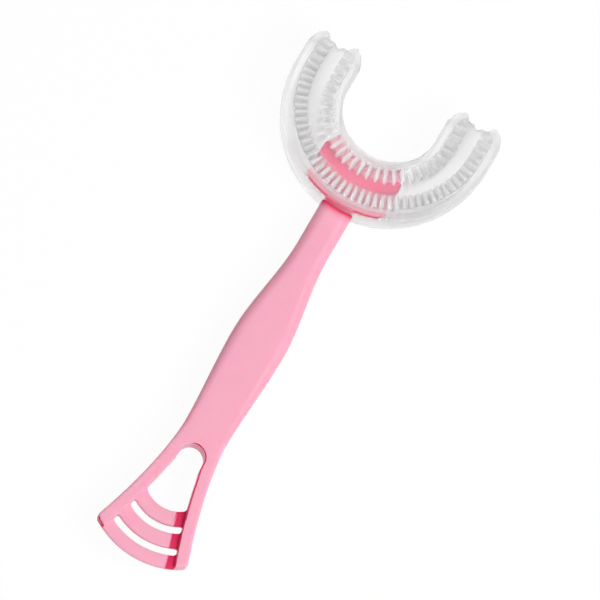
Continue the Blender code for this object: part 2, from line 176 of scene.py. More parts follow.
# Handle, seen from the side
HANDLE_THICKNESS = HANDLE_HIGH.z - HANDLE_LOW.z
END_THICKNESS = 4.6 * MM
NECK_ROUND = 2.9 * MM
WAIST_ROUND = 1.5 * MM
RAIL_ROUND = 0.75 * MM
HOLE_ROUND = 0.25 * MM
SHOULDER_ROUND = 1.5 * MM
EDGE_ROOM = 0.9
SHOULDER_ROWS = 8
BODY_ROWS = 120
HOLE_APPROACH_ROWS = 14
HOLE_ARC_ROWS = 22
RAIL_ROWS = 56
END_ROWS = 9
ACROSS_STEPS = 10
ROW_SETTLING = 16
WALL_LEVELS = (1.0, 0.75, -0.75, -1.0)

# Tongue scraper
HANDLE_END_Y = CENTRE[1] - HANDLE_LOW.y
END_TRIM = 0.4 * MM
HOLE_TOP_Y = 106.0 * MM
HOLE_APPROACH = 1.6 * MM
HOLE_TOP_RADIUS = 3.6 * MM
HOLE_CENTRE_Y = HOLE_TOP_Y + HOLE_TOP_RADIUS
SCRAPER_CENTRE_Y = 116.0 * MM
HOLE_EDGE_RADIUS = 9.2 * MM
RAIL_WIDTH = 3.65 * MM
RAIL_SETBACK = 0.2 * MM
RAIL_BLEND = 4.6 * MM
CORNER_ROUND = 1.2 * MM
BLADE_WIDTH = 4.05 * MM
SLOT_WIDTH = 2.0 * MM
BLADE_HALF_THICKNESS = 0.9 * MM
BLADE_EDGE_ROUND = 0.3 * MM
BLADE_EMBED = 0.8 * MM
BLADE_FLARE = 0.55 * MM
BLADE_COUNT = 3
BLADE_STATIONS = 49
BLADE_SETTLING = 30
END_RADIUS = HANDLE_END_Y - END_TRIM - SCRAPER_CENTRE_Y
RAIL_END_RADIUS = END_RADIUS - RAIL_SETBACK
RAIL_END_Y = SCRAPER_CENTRE_Y + RAIL_END_RADIUS

# Painted shade on the handle: how far its pink turns to a dark red pink, from 0 to 1, and where
PLATE_PAINTED_SHADE = 0.5
EDGE_PAINTED_SHADE = 1.0
SIDE_PAINTED_SHADE = 0.1
SHADE_WIDTH = 2.6 * MM
HOLE_SHADE = 1.05 * HOLE_ROUND
HOLE_SHADE_LEFT = -1.5 * MM
HOLE_SHADE_RISE = 1.0 * MM
HOLE_SHADE_LEVEL = 0.8
RAIL_END_SHADE = 0.3 * MM
TONGUE_PAINTED_SHADE_Y = 28.6 * MM
TONGUE_SHADE_FADE = 0.4 * MM
NEAR = 0.1 * MM
HAIR = 0.01 * MM

# Colours
WHITE = (1.0, 1.0, 1.0, 1.0)
TABLE_WHITE = (0.93, 0.93, 0.93, 1.0)
LIGHT_PINK = (0.905, 0.45, 0.575)
CLOUDED_PINK = (0.89, 0.43, 0.555)
# A dark red pink painted into the handle's colour for shade
PAINTED_SHADE_PINK = (0.70, 0.013, 0.11)
THIN_SILICONE = (0.95, 0.95, 0.955)
# Greyer silicone where the haze is high: partly thicker silicone, partly painted shade
THICK_AND_SHADED_SILICONE = (0.86, 0.86, 0.865)
THICK_AND_SHADED_BRISTLES = (0.82, 0.82, 0.825)

# Studio
FILL_LIGHT = 0.35
SOFT_BOX_SIZE = 0.40
RIGHT_BOX_PLACE = (0.36, -0.06, 0.71)
RIGHT_BOX_WATTS = 5.0
LEFT_BOX_PLACE = (-0.22, -0.27, 0.71)
LEFT_BOX_WATTS = 4.7
FLOOR_REACH = 2.0
FLOOR_DROP = 0.05 * MM
FLOOR_SHADOW = 0.045
LIGHT_BOUNCES = 24
CLEAR_BOUNCES = 64


# Meshes


def grid_faces(rows, columns, start=0):
    """Quads of a grid whose points are stored row by row from the index start."""
    index = start + np.arange(rows * columns).reshape(rows, columns)
    quads = [index[:-1, :-1], index[:-1, 1:], index[1:, 1:], index[1:, :-1]]
    return np.stack(quads, axis=-1).reshape(-1, 4)


def closed_mesh(name, points, quads):
    """A mesh from arrays, with shared points joined, ends filled, and its faces outward."""
    mesh = bpy.data.meshes.new(name)
    mesh.vertices.add(len(points))
    mesh.vertices.foreach_set("co", (points + CENTRE).astype(np.float32).ravel())
    mesh.loops.add(quads.size)
    mesh.loops.foreach_set("vertex_index", quads.astype(np.int32).ravel())
    mesh.polygons.add(len(quads))
    mesh.polygons.foreach_set("loop_start", np.arange(0, quads.size, 4, dtype=np.int32))
    mesh.update(calc_edges=True)
    work = bmesh.new()
    work.from_mesh(mesh)
    bmesh.ops.remove_doubles(work, verts=work.verts, dist=MERGE_DISTANCE)
    bmesh.ops.dissolve_degenerate(work, edges=work.edges, dist=MERGE_DISTANCE / 2)
    open_edges = [edge for edge in work.edges if edge.is_boundary]
    bmesh.ops.holes_fill(work, edges=open_edges)
    bmesh.ops.recalc_face_normals(work, faces=work.faces)
    work.to_mesh(mesh)
    work.free()
    return mesh


def add_piece(name, mesh, material, body, nodes, crease=CREASE_ANGLE):
    """A finished piece that rides on a body and stands for nodes of the frame."""
    piece = bpy.data.objects.new(name, mesh)
    bpy.context.scene.collection.objects.link(piece)
    mesh.materials.clear()
    mesh.materials.append(material)
    mesh.shade_smooth()
    mesh.set_sharp_from_angle(angle=math.radians(crease))
    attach(piece, body)
    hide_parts(*nodes)
    return piece


def combined(base, tools, operation):
    """One mesh: the base joined with, or cut by, each of the tools."""
    target = bpy.data.objects.new("joining", base)
    bpy.context.scene.collection.objects.link(target)
    helpers = []
    for tool in tools:
        helper = bpy.data.objects.new("joining_tool", tool)
        bpy.context.scene.collection.objects.link(helper)
        modifier = target.modifiers.new("join", "BOOLEAN")
        modifier.object = helper
        modifier.operation = operation
        modifier.solver = "EXACT"
        helpers.append(helper)
    evaluated = target.evaluated_get(bpy.context.evaluated_depsgraph_get())
    result = bpy.data.meshes.new_from_object(evaluated)
    for spent in [target] + helpers:
        bpy.data.objects.remove(spent)
    return result


def ease(share):
    """A smooth step from 0 to 1: three times the square less twice the cube."""
    share = np.clip(share, 0.0, 1.0)
    return share * share * (3 - 2 * share)


def blend(share, first, second):
    """The first value where the share is 0, the second where it is 1, and in proportion between."""
    return first + (second - first) * share


# The silicone head


def rounded_line(corners, radii, steps=9):
    """An open line through corners, each turned into an arc that touches both of its sides."""
    points = [corners[0]]
    for before, corner, after, radius in zip(corners, corners[1:], corners[2:], radii):
        to_before = (before - corner) / np.linalg.norm(before - corner)
        to_after = (after - corner) / np.linalg.norm(after - corner)
        half_turn = math.acos(float(np.clip(to_before @ to_after, -1.0, 1.0))) / 2
        middle = to_before + to_after
        centre = corner + middle / np.linalg.norm(middle) * radius / math.sin(half_turn)
        start = corner + to_before * radius / math.tan(half_turn) - centre
        end = corner + to_after * radius / math.tan(half_turn) - centre
        sweep = math.acos(float(np.clip(start @ end / radius ** 2, -1.0, 1.0)))
        share = np.linspace(0.0, 1.0, steps)[:, None]
        arc = (np.sin((1 - share) * sweep) * start + np.sin(share * sweep) * end) / math.sin(sweep)
        points.extend(centre + arc)
    points.append(corners[-1])
    return np.array(points)


def spread(line, longest):
    """The same line with points added, so that no step is longer than longest."""
    steps = np.hypot(*np.diff(line, axis=0).T)
    pieces = [np.linspace(a, b, int(step / longest) + 1, endpoint=False)
              for a, b, step in zip(line, line[1:], steps) if step > 0]
    return np.vstack(pieces + [line[-1:]])


def head_section():
    """Half of the H-section: up the outer skin, over rim, floor and rim, and down the inner skin.

    Each skin is a barrel: it draws in with the square of the height. Each face of the channel leans out a
    little towards its rim.
    """
    corners = np.array([
        (HEAD_RADIUS, 0.0),
        (HEAD_RADIUS, HALF_HEIGHT),
        (OUTER_FACE + WALL_DRAFT, HALF_HEIGHT),
        (OUTER_FACE, HALF_WEB),
        (INNER_FACE, HALF_WEB),
        (INNER_FACE - WALL_DRAFT, HALF_HEIGHT),
        (MOUTH_RADIUS, HALF_HEIGHT),
        (MOUTH_RADIUS, 0.0)])
    radii = (RIM_ROUND, RIM_ROUND, FLOOR_ROUND, FLOOR_ROUND, RIM_ROUND, RIM_ROUND)
    line = spread(rounded_line(corners, radii), SECTION_STEP)
    radius, height = line.T
    middle = (OUTER_FACE + INNER_FACE) / 2
    face = np.where(radius > middle, OUTER_FACE, INNER_FACE)
    skin = np.where(radius > middle, HEAD_RADIUS, MOUTH_RADIUS)
    into_wall = np.clip((radius - face) / (skin - face), 0.0, 1.0)
    inward = np.sign(face - skin) * BARREL_DRAW * (height / HALF_HEIGHT) ** 2
    return np.column_stack([radius + inward * into_wall, height])


def arm_end(radius):
    """How far an arm reaches: a cosine wave notches the channel, and each skin has a round shoulder."""
    middle = (OUTER_LOBE_RADIUS + INNER_LOBE_RADIUS) / 2
    share = np.clip((radius - middle) / TIP_NOTCH_WIDTH, -0.5, 0.5)
    notch = TIP_NOTCH * (1 + np.cos(2 * math.pi * share)) / 2
    past = np.maximum(radius - OUTER_LOBE_RADIUS, INNER_LOBE_RADIUS - radius)
    return ARM_LENGTH - notch - round_fall(LOBE_ROUND - past, LOBE_ROUND)


def narrowed(section, from_end):
    """The section near an arm's end, where the walls thicken into the channel as a bell curve.

    They thicken most at the foot, so that their faces slant. The skins stay where they are.
    """
    radius, height = section.T
    middle = (OUTER_FACE + INNER_FACE) / 2
    half = (OUTER_FACE - INNER_FACE) / 2
    slant = TIP_SLANT * (1 - np.abs(height) / HALF_HEIGHT)
    widen = (TIP_WIDEN + slant) * np.exp(-(from_end / TIP_WIDEN_LENGTH) ** 2)
    offset = radius - middle
    in_channel = offset * widen / half
    thickness = np.where(offset > 0, HEAD_RADIUS - OUTER_FACE, INNER_FACE - MOUTH_RADIUS)
    into_wall = np.clip((np.abs(offset) - half) / thickness, 0.0, 1.0)
    in_wall = np.sign(offset) * widen * (1 - into_wall)
    return np.column_stack([radius - np.where(np.abs(offset) < half, in_channel, in_wall), height])


def along_u(station, radius, height):
    """A point of the u at a radius and a height.

    Stations under 0 are distances up the right arm, 0 to pi are angles round the front, and past pi they are
    distances up the left arm again.
    """
    angle = np.clip(station, 0.0, math.pi)
    up = np.where(station < 0, -station, np.clip(station - math.pi, 0.0, None))
    x = radius * np.cos(angle)
    y = up - radius * np.sin(angle)
    return np.stack(np.broadcast_arrays(x, y, height), axis=-1)


def head_mesh():
    """The section carried round the u, with each end drawn in along a quarter circle and closed."""
    section = head_section()
    tangent = np.gradient(section, axis=0)
    normal = np.column_stack([tangent[:, 1], -tangent[:, 0]])
    normal /= np.linalg.norm(normal, axis=1, keepdims=True)
    round_angles = np.linspace(0.0, math.pi / 2, TIP_STATIONS)
    insets = TIP_ROUND * (1 - np.cos(round_angles))
    setbacks = TIP_ROUND * (1 - np.sin(round_angles))
    arm_shares = np.linspace(0.0, 1.0, ARM_STATIONS)[1:]

    def end_rows(side):
        """Rows from the root of an arm to its end, on the right for side 1 and on the left for -1."""
        rows = []
        for share in arm_shares:
            reach = (arm_end(section[:, 0]) - TIP_ROUND) * share
            drawn = narrowed(section, ARM_LENGTH * (1 - share))
            rows.append(np.column_stack([side * drawn[:, 0], reach, drawn[:, 1]]))
        for inset, setback in zip(insets[1:], setbacks[1:]):
            drawn = narrowed(section - normal * inset, 0.0)
            reach = arm_end(section[:, 0]) - setback
            rows.append(np.column_stack([side * drawn[:, 0], reach, drawn[:, 1]]))
        return rows

    angles = np.linspace(0.0, math.pi, FRONT_STATIONS)
    front = [along_u(angle, section[:, 0], section[:, 1]) for angle in angles]
    rows = np.stack(end_rows(1)[::-1] + front + end_rows(-1))
    mirrored = rows * np.array([1.0, 1.0, -1.0])
    caps = []
    levels = np.linspace(1.0, -1.0, CAP_LEVELS)[:, None, None]
    flat = np.array([1.0, 1.0, 0.0])
    upright = np.array([0.0, 0.0, 1.0])
    for row in (rows[0], rows[-1]):
        caps.append(row[None] * flat + row[None] * upright * levels)
    points = []
    quads = []
    for sheet in (rows, mirrored, *caps):
        start = sum(len(part) for part in points)
        quads.append(grid_faces(*sheet.shape[:2], start))
        points.append(sheet.reshape(-1, 3))
    return closed_mesh("silicone_head", np.vstack(points), np.vstack(quads))


def head_places(mesh):
    """Each point's distance from the axis of the front, or from the middle plane on the arms; x, y, z."""
    places = np.empty(len(mesh.vertices) * 3, dtype=np.float32)
    mesh.vertices.foreach_get("co", places)
    x, y, z = (places.reshape(-1, 3) - CENTRE).T
    return np.where(y < 0, np.hypot(x, y), np.abs(x)), x, y, z


def add_layer(mesh, name, values):
    """Keep one number for each point with the mesh."""
    layer = mesh.attributes.new(name, "FLOAT", "POINT")
    layer.data.foreach_set("value", values.astype(np.float32))


def front_stretch(x, y, reach, fade):
    """1 on the front within a reach of the middle, easing to 0 over a fade centred there; 0 on the arms."""
    return (y < 0) * ease(0.5 + (reach - np.abs(x)) / fade)


def add_haze(mesh):
    """How milky each point of the head is, from 0 to 1.

    Thick silicone scatters more light. Over the core plate the silicone is clearer, most along the middle
    of the channel and least beside the walls. The outer skin there has a clear band, just high enough to
    show the plate's edge from above. Over the tongue it is clear on the left and milkier on the right. The
    pocket is nearly clear, because there the silicone lies against the plate.
    """
    radius, x, y, z = head_places(mesh)
    level = np.abs(z)
    over_plate = front_stretch(x, y, PLATE_HALF_WIDTH, SHARP_FADE)
    over_tongue = front_stretch(x, y, TONGUE_HALF_WIDTH, SHARP_FADE)
    # In the walls the clear stretch reaches further to the right with height
    lean = CLEAR_LEAN * level * (x > 0)
    by_plate = front_stretch(x, y, PLATE_HALF_WIDTH + lean, SOFT_FADE)

    from_clear = np.abs(radius - CLEAR_RADIUS) - CLEAR_HALF_WIDTH
    plate_web = blend(ease(from_clear / CLEAR_FADE), PLATE_HAZE, PLATE_SIDE_HAZE)
    web = blend(over_plate, WEB_HAZE, plate_web)
    into_outer_wall = ease((radius - OUTER_FACE - OUTER_WALL_CLEAR) / SHARP_FADE)
    outer_wall = blend(into_outer_wall, PLATE_WALL_HAZE, PLATE_RIM_HAZE)
    up_inner_wall = ease((level - INNER_WALL_FOOT) / LEVEL_FADE)
    inner_wall = blend(up_inner_wall, PLATE_SIDE_HAZE, INNER_WALL_HAZE)
    wall = blend(by_plate, WALL_HAZE, np.where(radius > CLEAR_RADIUS, outer_wall, inner_wall))
    haze = blend(ease((level - HALF_WEB) / FLOOR_ROUND), web, wall)

    above_band = ease((level - SKIN_BAND_HIGH) / LEVEL_FADE)
    below_band = ease((SKIN_BAND_LOW - level) / LEVEL_FADE)
    high_skin = blend(by_plate, WALL_HAZE, blend(above_band, PLATE_SKIN_HAZE, PLATE_RIM_HAZE))
    at_front = ease((-y / HEAD_RADIUS - FRONT_START) / FRONT_FADE)
    tongue_skin = blend(ease(0.5 + x / TONGUE_FADE), TONGUE_HAZE, TONGUE_SIDE_HAZE)
    low_skin = blend(over_tongue, blend(at_front, SKIN_HAZE, FRONT_SKIN_HAZE), tongue_skin)
    outside = radius > HEAD_RADIUS - BARREL_DRAW - SKIN_DEPTH
    haze = np.where(outside, blend(below_band, high_skin, low_skin), haze)

    pocket = (y < 0) & (level < PLATE_HALF_THICKNESS + 2 * POCKET_GAP)
    pocket &= (radius > MOUTH_RADIUS + POCKET_MARGIN) & (radius < HEAD_RADIUS - SKIN_DEPTH)
    add_layer(mesh, "haze", np.where(pocket, POCKET_HAZE, haze))


# Core plate


def arc_points(radius, from_x, to_x, steps):
    """Points on the front of a circle about the centre of the u, between two places across."""
    angles = np.linspace(math.asin(from_x / radius), math.asin(to_x / radius), steps)
    return np.column_stack([radius * np.sin(angles), -radius * np.cos(angles)])


def plate_outline(grow=0.0):
    """Half the outline of the core plate, from the axis on its inner arc round to the tongue."""
    corner_x = PLATE_HALF_WIDTH - PLATE_CORNER_ROUND
    reach = PLATE_OUTER_RADIUS - PLATE_CORNER_ROUND
    corner_y = math.sqrt(reach ** 2 - corner_x ** 2)
    turn = math.atan2(corner_y, corner_x)
    angles = np.linspace(0.0, turn, PLATE_CORNER_STEPS)
    radius = PLATE_CORNER_ROUND + grow
    corner = np.column_stack([corner_x + radius * np.cos(angles), -corner_y - radius * np.sin(angles)])
    outer = PLATE_OUTER_RADIUS + grow
    tongue = TONGUE_HALF_WIDTH + grow
    start = outer * math.cos(turn)
    inner = arc_points(PLATE_INNER_RADIUS - grow, 0.0, PLATE_INNER_HALF_WIDTH + grow, PLATE_INNER_STEPS)
    return np.vstack([
        inner,
        [(PLATE_HALF_WIDTH + grow, -(PLATE_SIDE_Y - grow))],
        corner,
        arc_points(outer, start, tongue, PLATE_OUTER_STEPS)[1:],
        [(tongue, -(SHOULDER_RADIUS + TONGUE_ROOT))]])


def slab_mesh(name, outline, half_thickness, edge):
    """A flat piece: its outline drawn in along a quarter circle at the top and bottom edges."""
    loop = np.vstack([outline, outline[:0:-1] * np.array([-1.0, 1.0])])
    step = np.roll(loop, -1, axis=0) - np.roll(loop, 1, axis=0)
    outward = np.column_stack([step[:, 1], -step[:, 0]])
    outward /= np.linalg.norm(outward, axis=1, keepdims=True)
    area = np.sum(loop[:, 0] * np.roll(loop[:, 1], -1) - np.roll(loop[:, 0], -1) * loop[:, 1])
    outward *= np.sign(area)
    angles = np.linspace(0.0, math.pi / 2, EDGE_STEPS)
    insets = edge * (1 - np.cos(angles))
    heights = half_thickness - edge * (1 - np.sin(angles))
    insets = np.concatenate([insets[::-1], insets])
    heights = np.concatenate([heights[::-1], -heights])
    closed = np.vstack([loop, loop[:1]])
    normals = np.vstack([outward, outward[:1]])
    plan = closed[None] - normals[None] * insets[:, None, None]
    level = np.broadcast_to(heights[:, None, None], plan.shape[:2] + (1,))
    points = np.concatenate([plan, level], axis=-1)
    return closed_mesh(name, points.reshape(-1, 3), grid_faces(*points.shape[:2]))


# The handle


def half_width(distance):
    """Half the width of the handle: smooth steps out to the grip and in to the waist, then a power law."""
    grip = ease((distance - NECK_END_Y) / (GRIP_Y - NECK_END_Y))
    waist = ease((distance - GRIP_Y) / (WAIST_Y - GRIP_Y))
    fan = np.clip((distance - WAIST_Y) / FAN_LENGTH, 0.0, None) ** FAN_POWER
    width = NECK_WIDTH + (GRIP_WIDTH - NECK_WIDTH) * grip
    width = width + (WAIST_WIDTH - GRIP_WIDTH) * waist + (FAN_WIDTH - WAIST_WIDTH) * fan
    return width / 2


def corner_inset(gap_end):
    """How far the side draws in near the end, so that the two corners are round in plan."""
    into = CORNER_ROUND - np.clip(gap_end, 0.0, CORNER_ROUND)
    return CORNER_ROUND - np.sqrt(CORNER_ROUND ** 2 - into ** 2)


def hole_half_width(distance):
    """Half the width between the rails: a round top, then a constant rail width."""
    below = np.clip(distance - HOLE_CENTRE_Y, 0.0, None)
    above = np.clip(HOLE_CENTRE_Y - distance, 0.0, HOLE_TOP_RADIUS)
    arc = np.sqrt(HOLE_TOP_RADIUS ** 2 - above ** 2)
    rail = half_width(distance) - RAIL_WIDTH
    wide = arc + (np.maximum(rail, arc) - arc) * ease(below / RAIL_BLEND)
    return np.where(distance < HOLE_CENTRE_Y, arc, wide)


def half_thickness(distance):
    """Half the thickness of the handle, thinning along the rails."""
    share = np.clip((distance - HOLE_TOP_Y) / (RAIL_END_Y - HOLE_TOP_Y), 0.0, 1.0)
    return (HANDLE_THICKNESS + (END_THICKNESS - HANDLE_THICKNESS) * share) / 2


def edge_round(distance):
    """The radius of the long edges: largest on the neck, less at the waist, least on the rails."""
    waist = ease((distance - GRIP_Y) / (WAIST_Y - GRIP_Y))
    rail = ease((distance - WAIST_Y) / (HOLE_CENTRE_Y - WAIST_Y))
    return NECK_ROUND + (WAIST_ROUND - NECK_ROUND) * waist + (RAIL_ROUND - WAIST_ROUND) * rail


def curved(distance, across):
    """Bend a straight row: round the head at the neck, and round the scraper's centre at the end."""
    neck = np.clip((NECK_END_Y - distance) / (NECK_END_Y - SHOULDER_RADIUS), 0.0, 1.0)
    end = ease((distance - HOLE_CENTRE_Y) / (RAIL_END_Y - RAIL_ROUND - HOLE_CENTRE_Y))
    head_rise = SHOULDER_RADIUS - np.sqrt(SHOULDER_RADIUS ** 2 - across ** 2)
    end_rise = RAIL_END_RADIUS - np.sqrt(RAIL_END_RADIUS ** 2 - np.minimum(across, RAIL_END_RADIUS) ** 2)
    return distance - neck * head_rise - end * end_rise


def round_fall(gap, radius):
    """How far a rounded edge falls below the face at a gap from the edge: a quarter circle."""
    into = radius - np.clip(gap, 0.0, radius)
    return radius - np.sqrt(radius ** 2 - into ** 2)


def handle_rows():
    """Distances down the axis at which the handle is drawn, and the row where the hole starts."""
    quarter = np.sin(np.linspace(0.0, math.pi / 2, END_ROWS))
    shoulder = SHOULDER_RADIUS + SHOULDER_ROUND * (1 - np.cos(np.linspace(0.0, math.pi / 2, SHOULDER_ROWS)))
    body = np.linspace(shoulder[-1], HOLE_TOP_Y - HOLE_APPROACH, BODY_ROWS)[1:]
    edge = np.linspace(body[-1], HOLE_TOP_Y, HOLE_APPROACH_ROWS)[1:-1]
    arc = HOLE_CENTRE_Y - HOLE_TOP_RADIUS * np.cos(np.linspace(0.0, math.pi / 2, HOLE_ARC_ROWS))
    rail = np.linspace(HOLE_CENTRE_Y, RAIL_END_Y - CORNER_ROUND, RAIL_ROWS)[1:]
    end = RAIL_END_Y - CORNER_ROUND * (1 - quarter[1:])
    before = np.concatenate([shoulder, body, edge])
    return np.concatenate([before, arc, rail, end]), len(before)


def handle_mesh():
    """The handle without its plate and blades.

    A quarter of the top runs from the axis, or from the edge of the hole, out to the side. Its height is
    half the thickness, less a quarter-circle fall wherever a side, the hole or an end is near. Three
    mirror images and upright walls complete it.
    """
    rows, hole_row = handle_rows()
    inner = np.zeros(len(rows))
    outer = half_width(rows)
    # A row's width says how far it bends, and the bend says how wide it is, so the two settle together
    for _ in range(ROW_SETTLING):
        outer = half_width(curved(rows, outer)) - corner_inset(RAIL_END_Y - rows)
        inner[hole_row:] = hole_half_width(curved(rows, inner))[hole_row:]
    radius = edge_round(rows)[:, None]
    quarter = 1 - np.cos(np.linspace(0.0, math.pi / 2, ACROSS_STEPS))[None, :]
    inner_edge = inner[:, None] + HOLE_ROUND * quarter
    room = (outer[:, None] - inner_edge[:, -1:]) * EDGE_ROOM
    outer_edge = outer[:, None] - np.minimum(radius, room) * quarter[:, ::-1]
    shares = np.linspace(0.0, 1.0, ACROSS_STEPS)[None, 1:-1]
    middle = inner_edge[:, -1:] + (outer_edge[:, :1] - inner_edge[:, -1:]) * shares
    across = np.hstack([inner_edge, middle, outer_edge])
    down = curved(rows[:, None], across)
    gap_end = RAIL_END_RADIUS - np.hypot(across, down - SCRAPER_CENTRE_Y)
    gap_end = np.where(down > SCRAPER_CENTRE_Y, gap_end, RAIL_END_RADIUS)
    gap_head = np.hypot(across, down) - SHOULDER_RADIUS
    gap_side = half_width(down) - corner_inset(gap_end) - across
    gap_hole = np.where(
        down < HOLE_CENTRE_Y,
        np.hypot(across, down - HOLE_CENTRE_Y) - HOLE_TOP_RADIUS,
        across - hole_half_width(down))
    side_fall = round_fall(gap_side, edge_round(down))
    other_fall = np.maximum(round_fall(gap_hole, HOLE_ROUND), round_fall(gap_end, RAIL_ROUND))
    head_fall = round_fall(gap_head, SHOULDER_ROUND)
    top = half_thickness(down) - np.maximum(np.maximum(side_fall, other_fall), head_fall)
    return mirrored_sheets(across, down, top, hole_row)


def mirrored_sheets(across, down, top, hole_row):
    """Four mirrored copies of one sheet, with upright walls round the outside and round the hole.

    The walls have rows close to their edges, so that a shade on an edge doesn't spread over a wall.
    """
    quarters = []
    faces = []
    side = np.column_stack([across[:, -1], -down[:, -1], top[:, -1]])
    first = np.column_stack([across[0], -down[0], top[0]])
    last = np.column_stack([across[-1], -down[-1], top[-1]])
    hole = np.column_stack([across[hole_row:, 0], -down[hole_row:, 0], top[hole_row:, 0]])
    sheet = np.stack([across, -down, top], axis=-1)
    walls = [np.stack([edge * np.array([1.0, 1.0, level]) for level in WALL_LEVELS])
             for edge in (side, first, last, hole)]
    for mirror in (1.0, -1.0):
        flip = np.array([mirror, 1.0, 1.0])
        for part in [sheet, sheet * np.array([1.0, 1.0, -1.0])] + walls:
            start = sum(len(points) for points in quarters)
            faces.append(grid_faces(*part.shape[:2], start))
            quarters.append((part * flip).reshape(-1, 3))
    return closed_mesh("handle", np.vstack(quarters), np.vstack(faces))


def split_across(mesh, *distances):
    """Cut the handle's faces across at distances down its axis, so that a shade can start there."""
    work = bmesh.new()
    work.from_mesh(mesh)
    for distance in distances:
        place = Vector(CENTRE) - Vector((0.0, distance, 0.0))
        parts = work.verts[:] + work.edges[:] + work.faces[:]
        bmesh.ops.bisect_plane(work, geom=parts, plane_co=place, plane_no=(0, 1, 0))
    work.to_mesh(mesh)
    work.free()


def add_painted_shade(mesh):
    """How much painted shade each point of the handle gets, from 0 to 1: a dark red pink.

    It stands for shade where little light but what has come through the plastic itself reaches: the plate
    and its edge, the root of the tongue, the end of the neck, the long sides, the blades beside the right
    rail as the rail's painted shadow, the end of the left rail and the right edge of the hole. On the neck
    the painted shade dies away as a bell curve, and along the sides as a smooth step.
    """
    split_across(mesh, TONGUE_PAINTED_SHADE_Y, TONGUE_PAINTED_SHADE_Y - TONGUE_SHADE_FADE)
    x, y, z = head_places(mesh)[1:]
    down = -y
    level = np.abs(z)
    from_centre = np.hypot(x, y)
    inside = from_centre < SHOULDER_RADIUS - NEAR
    # Painted shade on the plate inside the head, darkest on its edge, and on the root of the tongue
    plate = inside * np.where(level > PLATE_HALF_THICKNESS - NEAR, PLATE_PAINTED_SHADE, EDGE_PAINTED_SHADE)
    root = EDGE_PAINTED_SHADE * (inside & (down > TONGUE_PAINTED_SHADE_Y - HAIR))
    # Painted shade at the end of the neck, against the head
    neck = EDGE_PAINTED_SHADE * np.exp(-((from_centre - SHOULDER_RADIUS) / SHOULDER_ROUND) ** 2)
    neck *= (down < NECK_END_Y) & ~inside
    # A little painted shade along the long sides
    side = SIDE_PAINTED_SHADE * ease(1 - (half_width(down) - np.abs(x)) / SHADE_WIDTH) * (down < WAIST_Y)

    # Painted shadow of the right rail on the blades; painted shade on the end of the left rail and the
    # hole's right edge
    from_rail = hole_half_width(down) - x
    blades = (from_rail < SHADE_WIDTH) & (from_rail > -NEAR) & (down > HOLE_CENTRE_Y) & (x > 0)
    blades &= level < BLADE_HALF_THICKNESS + NEAR
    from_end = RAIL_END_RADIUS - np.hypot(x, down - SCRAPER_CENTRE_Y)
    rail_end = (from_end < RAIL_END_SHADE) & (down > SCRAPER_CENTRE_Y) & (x < -hole_half_width(down))
    from_top = HOLE_TOP_RADIUS - np.hypot(x, down - HOLE_CENTRE_Y)
    from_hole = np.where(down < HOLE_CENTRE_Y, from_top, from_rail)
    hole_edge = (np.abs(from_hole) < HOLE_SHADE) & (level > HOLE_SHADE_LEVEL * half_thickness(down))
    hole_edge &= (x > HOLE_SHADE_LEFT) & (down > HOLE_TOP_Y - HOLE_SHADE_RISE)
    scraper = EDGE_PAINTED_SHADE * (blades | rail_end | hole_edge)
    add_layer(mesh, "painted_shade", np.maximum.reduce([plate, root, neck, side, scraper]))


def blade_mesh(index):
    """One curved blade: a round-edged bar on an arc between the rails, with a flare at each rail.

    The flare dies away exponentially with the distance from the rail.
    """
    near = HOLE_EDGE_RADIUS + index * (BLADE_WIDTH + SLOT_WIDTH)
    far = min(near + BLADE_WIDTH, END_RADIUS)
    limits = []
    for radius in (near, far):
        limit = 0.0
        for _ in range(BLADE_SETTLING):
            down = SCRAPER_CENTRE_Y + radius * math.cos(limit)
            reach = float(hole_half_width(np.array(down))) + BLADE_EMBED
            limit = math.asin(min(reach / radius, 1.0))
        limits.append(limit)
    across = np.linspace(-1.0, 1.0, BLADE_STATIONS)
    angles = np.linspace(0.0, math.pi / 2, EDGE_STEPS)
    corner = BLADE_EDGE_ROUND * np.column_stack([1 - np.cos(angles), 1 - np.sin(angles)])
    near_side = np.column_stack([near + corner[:, 0], BLADE_HALF_THICKNESS - corner[:, 1]])
    far_side = np.column_stack([far - corner[:, 0], BLADE_HALF_THICKNESS - corner[:, 1]])
    top = np.vstack([near_side, far_side[::-1]])
    section = np.vstack([top, top[::-1] * np.array([1.0, -1.0]), top[:1]])
    share = (section[:, 0] - near) / (far - near)
    limit = limits[0] + (limits[1] - limits[0]) * share
    angle = across[:, None] * limit[None, :]
    gap = (1 - np.abs(across[:, None])) * limit[None, :] * section[None, :, 0] - BLADE_EMBED
    flare = BLADE_FLARE * np.exp(-np.clip(gap, 0.0, None) / BLADE_FLARE * 2)
    is_last = index == BLADE_COUNT - 1
    outward = np.where(share > 0.5, 0.0 if is_last else 1.0, -1.0)
    radius = section[None, :, 0] + flare * outward[None, :]
    height = np.broadcast_to(section[None, :, 1], radius.shape)
    points = np.stack([radius * np.sin(angle), -SCRAPER_CENTRE_Y - radius * np.cos(angle), height], axis=-1)
    return closed_mesh("blade", points.reshape(-1, 3), grid_faces(*points.shape[:2]))


# Bristles


